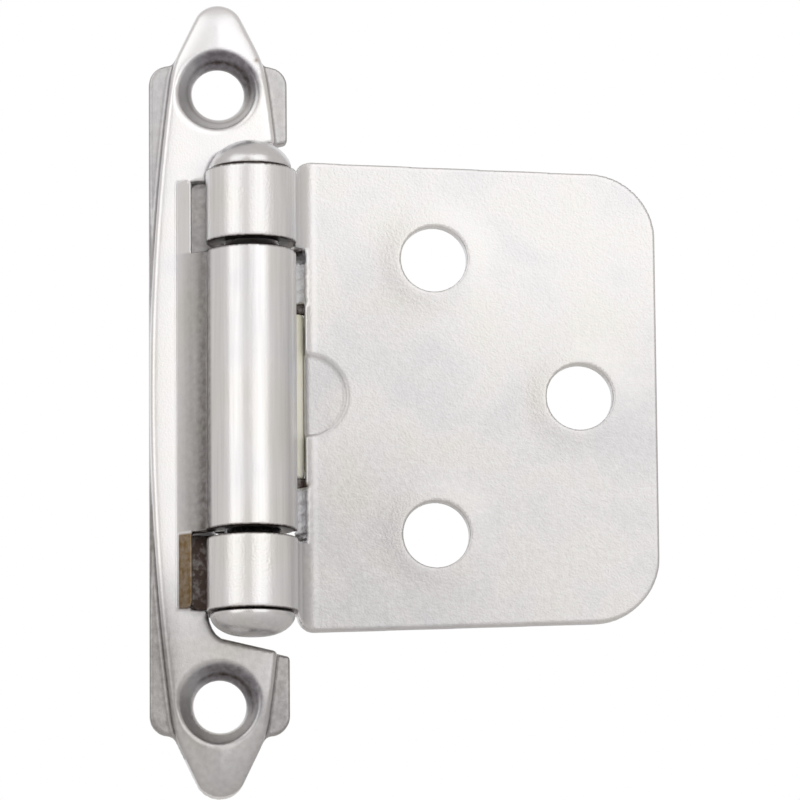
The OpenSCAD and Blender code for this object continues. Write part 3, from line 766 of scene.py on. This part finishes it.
class HINGE_OT_stage(bpy.types.Operator):
    """Sets the floor, the backdrop, the lamps and the camera"""
    bl_idname = "hinge.stage"
    bl_label = "Stage"

    def execute(self, context):
        scene = context.scene
        stage, colours = scene.hinge.stage, scene.hinge.finish
        wide, low, far = STAGE_HALF, FLOOR_Z, BACKDROP_Y
        for name, corners, glows in (
                ("floor", [(-wide, -wide, low), (wide, -wide, low),
                           (wide, wide, low), (-wide, wide, low)], False),
                ("backdrop", [(-wide, far, low), (wide, far, low),
                              (wide, far, wide), (-wide, far, wide)], True)):
            sheet = place(name, corners, [(0, 1, 2, 3)])
            sheet.data.materials.append(self.paper(name, colours, glows))
        world = bpy.data.worlds.new("soft_room")
        world.use_nodes = True
        scene.world = world
        back = world.node_tree.nodes["Background"]
        back.inputs["Color"].default_value = rgba(stage.room_tint)
        back.inputs["Strength"].default_value = stage.room
        self.lamp(scene, "left_box", stage.left_box, -46, 26, 0.62, 1.1)
        self.lamp(scene, "right_box", stage.right_box, 18.5, 26, 0.7, 1.1)
        self.camera(scene, stage.distance)
        scene.view_settings.view_transform = "Standard"
        return {"FINISHED"}

    def paper(self, name, colours, glows):
        """Pale matt paper; the backdrop is plain white to the camera and in reflections."""
        material, tree, out, mm = empty_material("pale_paper_" + name)
        # fibre clumps, drawn 4 mm wide so that they show
        fibre = add(tree, "ShaderNodeTexNoise", {"Vector": mm, "Scale": 1 / 4, "Detail": 2.0})
        press = add(tree, "ShaderNodeBump", {"Height": fibre.outputs[0], "Distance": 0.1 * MM})
        matt = add(tree, "ShaderNodeBsdfPrincipled", {
            "Base Color": rgba(colours.floor), "Roughness": 0.9, "Normal": press.outputs[0]})
        shader = matt.outputs[0]
        if glows:
            path = add(tree, "ShaderNodeLightPath")
            seen = add(tree, "ShaderNodeMath", {0: path.outputs["Is Camera Ray"],
                                                1: path.outputs["Is Glossy Ray"]}, operation="MAXIMUM")
            seen = add(tree, "ShaderNodeMath", {0: seen.outputs[0],
                                                1: path.outputs["Is Transmission Ray"]}, operation="MAXIMUM")
            white = add(tree, "ShaderNodeEmission", {"Color": (1, 1, 1, 1), "Strength": 1.0})
            shader = add(tree, "ShaderNodeMixShader", {0: seen.outputs[0], 1: shader,
                                                       2: white.outputs[0]}).outputs[0]
        tree.links.new(shader, out.inputs[0])
        return material

    def lamp(self, scene, name, glow, azimuth, height, width, tall):
        """A soft box that looks at the hinge, with its brightness given as seen in a mirror."""
        light = bpy.data.lights.new(name, "AREA")
        light.shape = "RECTANGLE"
        light.size, light.size_y = width, tall
        light.energy = glow * math.pi * width * tall
        box = bpy.data.objects.new(name, light)
        scene.collection.objects.link(box)
        a, e = math.radians(azimuth), math.radians(height)
        away = Vector((math.sin(a) * math.cos(e), -math.cos(a) * math.cos(e), math.sin(e)))
        box.location = away * BOX_AWAY
        box.rotation_euler = away.to_track_quat("Z", "Y").to_euler()
        box.visible_camera = False

    def camera(self, scene, distance):
        """A long lens, a little below and to the left, as in the photograph."""
        turn, tilt, roll = math.radians(VIEW_TURN), math.radians(VIEW_TILT), math.radians(VIEW_ROLL)
        back = Vector((math.sin(turn) * math.cos(tilt), -math.cos(turn) * math.cos(tilt), math.sin(tilt)))
        right = Vector((0, 0, 1)).cross(back).normalized()
        up = back.cross(right)
        right, up = (math.cos(roll) * right + math.sin(roll) * up,
                     math.cos(roll) * up - math.sin(roll) * right)
        data = bpy.data.cameras.new("camera")
        data.sensor_width = SENSOR
        data.lens = PIXELS_PER_MM * distance / MM * SENSOR / PICTURE
        across, down = (PICTURE / 2 - middle for middle in PICTURE_MIDDLE)
        aim = Vector(AIM) * MM + (right * across - up * down) * MM / PIXELS_PER_MM
        camera = bpy.data.objects.new("camera", data)
        scene.collection.objects.link(camera)
        camera.matrix_world = Matrix.Translation(aim + back * distance) @ Matrix(
            (right, up, back)).transposed().to_4x4()
        data.clip_start = 0.05
        data.clip_end = 20
        scene.camera = camera


PIECES = (HINGE_OT_frame_leaf, HINGE_OT_door_leaf, HINGE_OT_pin, HINGE_OT_closer)


class HINGE_PT_panel(bpy.types.Panel):
    """Lists the hinge's pieces and its settings"""
    bl_idname = "HINGE_PT_panel"
    bl_label = "Self-closing hinge"
    bl_space_type = "VIEW_3D"
    bl_region_type = "UI"
    bl_category = "Hinge"

    def draw(self, context):
        settings = context.scene.hinge
        for group in (settings.shape, settings.finish, settings.stage):
            box = self.layout.box()
            for prop in group.bl_rna.properties:
                if prop.identifier not in ("rna_type", "name"):
                    box.prop(group, prop.identifier)
        for operator in (*PIECES, HINGE_OT_stage):
            self.layout.operator(operator.bl_idname)


CLASSES = (HingeShape, HingeFinish, HingeStage, HingeSettings, *PIECES, HINGE_OT_stage, HINGE_PT_panel)


def register():
    for cls in CLASSES:
        bpy.utils.register_class(cls)
    bpy.types.Scene.hinge = PointerProperty(type=HingeSettings)


def unregister():
    del bpy.types.Scene.hinge
    for cls in reversed(CLASSES):
        bpy.utils.unregister_class(cls)


def main():
    """Builds the hinge and its stage, and keeps both boxes."""
    register()
    bpy.ops.hinge.stage()
    bpy.ops.hinge.frame_leaf()
    bpy.ops.hinge.door_leaf()
    bpy.ops.hinge.pin()
    bpy.ops.hinge.closer()


if __name__ == "__main__":
    main()
